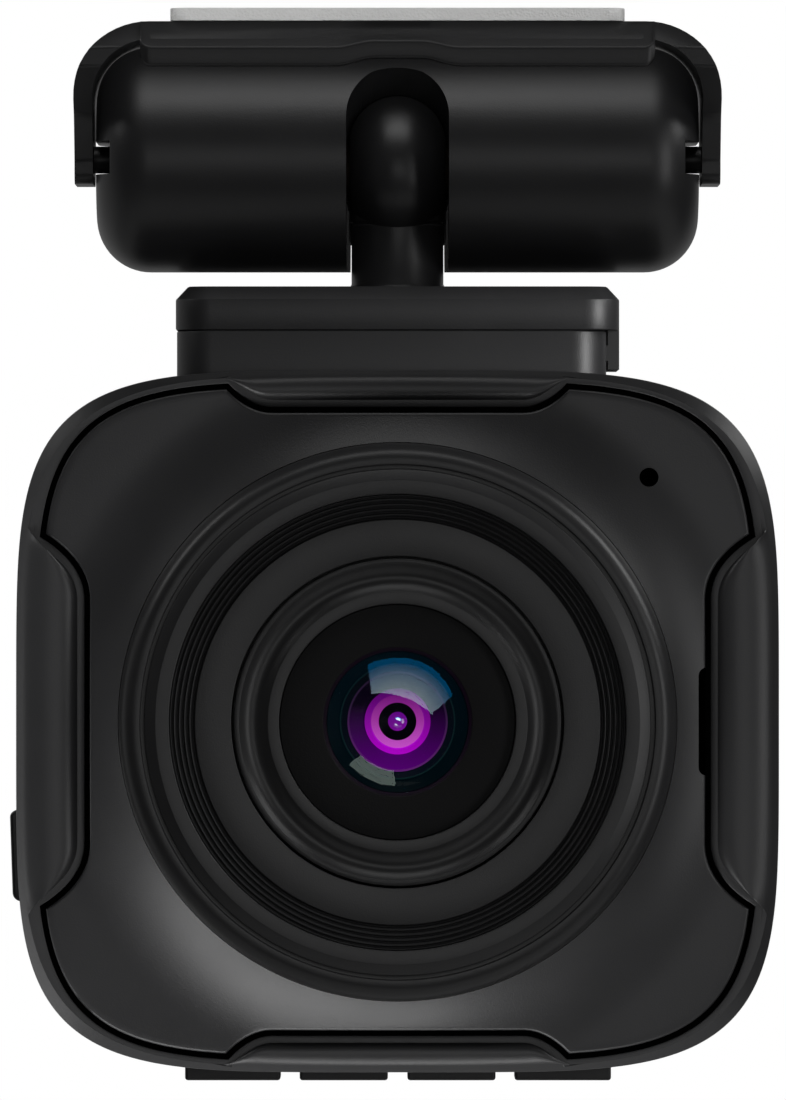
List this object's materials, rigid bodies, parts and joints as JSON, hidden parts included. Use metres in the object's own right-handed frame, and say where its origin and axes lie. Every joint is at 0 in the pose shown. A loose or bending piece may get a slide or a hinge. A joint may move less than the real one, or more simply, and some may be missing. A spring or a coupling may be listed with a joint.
{
  "type": "dash camera",
  "caption": "Compact dash camera with a squarish round-cornered body, a large ringed lens, buttons underneath and a barrel pivot mount on an adhesive bracket.",
  "frame": {"origin": "centre of the adhesive face that meets the glass", "axes": "+Z out of the adhesive face into the glass, the lens looks along -Y, +X to the right as seen from in front of the lens"},
  "size_m": [0.0649, 0.0324, 0.0905],
  "materials": {
    "adhesive_foam": "soft pale foam tape",
    "bracket_plastic": "satin moulded plastic",
    "barrel_plastic": "smooth satin-gloss moulded plastic",
    "shoe_plastic": "fine satin moulded plastic",
    "housing_plastic": "fine-textured moulded plastic",
    "frame_plastic": "satin moulded plastic",
    "cover_plastic": "satin-gloss moulded plastic",
    "ring_plastic": "fine matte ring with turned ridges",
    "disc_plastic": "flat black baffle",
    "coated_glass": "coated optical glass",
    "filter_glass": "infrared-cut glass",
    "window_glass": "polished black window",
    "display_panel": "display panel in a metal tray",
    "steel": "plated steel",
    "aluminium": "anodised aluminium",
    "contact_brass": "gold-plated brass",
    "circuit_board": "green solder mask on glass-fibre board",
    "chip_plastic": "moulded chip package",
    "cell_sleeve": "shrink sleeve",
    "seal_rubber": "soft black rubber",
    "button_plastic": "satin button plastic",
    "card_plastic": "card plastic"
  },
  "bodies": {
    "mount": {"adhesive_pad": "adhesive_foam", "bracket": "bracket_plastic", "pivot_pins": "steel"},
    "barrel": {"barrel_front": "barrel_plastic", "barrel_rear": "barrel_plastic", "barrel_screws": "steel", "knuckle_axle": "steel", "friction_washers": "contact_brass"},
    "stem": {"knuckle_stem": "barrel_plastic", "swivel_washer": "contact_brass", "swivel_screw": "steel"},
    "shoe": {"shoe": "shoe_plastic", "contact_pins": "contact_brass"},
    "camera": {"dock": "shoe_plastic", "contact_pads": "contact_brass", "front_frame": "frame_plastic", "rear_housing": "housing_plastic", "housing_screws": "steel", "front_cover": "cover_plastic", "lens_bezel": "ring_plastic", "ridged_ring": "ring_plastic", "dished_ring": "ring_plastic", "lens_retainer": "disc_plastic", "front_lens": "coated_glass", "lens_barrel": "disc_plastic", "middle_lens": "coated_glass", "rear_lens": "coated_glass", "infrared_filter": "filter_glass", "lens_holder": "chip_plastic", "image_sensor": "chip_plastic", "sensor_board": "circuit_board", "main_board": "circuit_board", "heat_spreader": "aluminium", "processor": "chip_plastic", "display_module": "display_panel", "display_window": "window_glass", "power_cells": "cell_sleeve", "speaker": "chip_plastic", "microphone": "steel", "microphone_seal": "seal_rubber", "button_board": "circuit_board", "button_switches": "steel", "side_switch": "steel", "power_inlet": "steel", "card_socket": "steel"},
    "button_far_left": {"button_far_left": "button_plastic"},
    "button_left": {"button_left": "button_plastic"},
    "button_right": {"button_right": "button_plastic"},
    "button_far_right": {"button_far_right": "button_plastic"},
    "side_button": {"side_button": "button_plastic"},
    "memory_card": {"memory_card": "card_plastic"}
  },
  "joints": [
    {"name": "barrel_pitch", "type": "hinge", "parent": "mount", "child": "barrel", "pos_m": [0, 0, -0.01243], "axis": [-1, 0, 0], "range_deg": [-25, 25]},
    {"name": "knuckle_tilt", "type": "hinge", "parent": "barrel", "child": "stem", "pos_m": [0, 0, -0.0133], "axis": [-1, 0, 0], "range_deg": [-15, 40]},
    {"name": "shoe_swivel", "type": "hinge", "parent": "stem", "child": "shoe", "pos_m": [0, 0, -0.0233], "axis": [0, 0, 1], "range_deg": [-90, 90]},
    {"name": "camera_slide", "type": "slide", "parent": "shoe", "child": "camera", "axis": [-1, 0, 0], "range_m": [0, 0.034]},
    {"name": "button_far_left_press", "type": "slide", "parent": "camera", "child": "button_far_left", "axis": [0, 0, 1], "range_m": [0, 0.0005], "stiffness_N_per_m": 2000, "springref_m": -0.0003},
    {"name": "button_left_press", "type": "slide", "parent": "camera", "child": "button_left", "axis": [0, 0, 1], "range_m": [0, 0.0005], "stiffness_N_per_m": 2000, "springref_m": -0.0003},
    {"name": "button_right_press", "type": "slide", "parent": "camera", "child": "button_right", "axis": [0, 0, 1], "range_m": [0, 0.0005], "stiffness_N_per_m": 2000, "springref_m": -0.0003},
    {"name": "button_far_right_press", "type": "slide", "parent": "camera", "child": "button_far_right", "axis": [0, 0, 1], "range_m": [0, 0.0005], "stiffness_N_per_m": 2000, "springref_m": -0.0003},
    {"name": "side_button_press", "type": "slide", "parent": "camera", "child": "side_button", "axis": [1, 0, 0], "range_m": [0, 0.0005], "stiffness_N_per_m": 2000, "springref_m": -0.0003},
    {"name": "card_slide", "type": "slide", "parent": "camera", "child": "memory_card", "axis": [1, 0, 0], "range_m": [0, 0.012]}
  ]
}
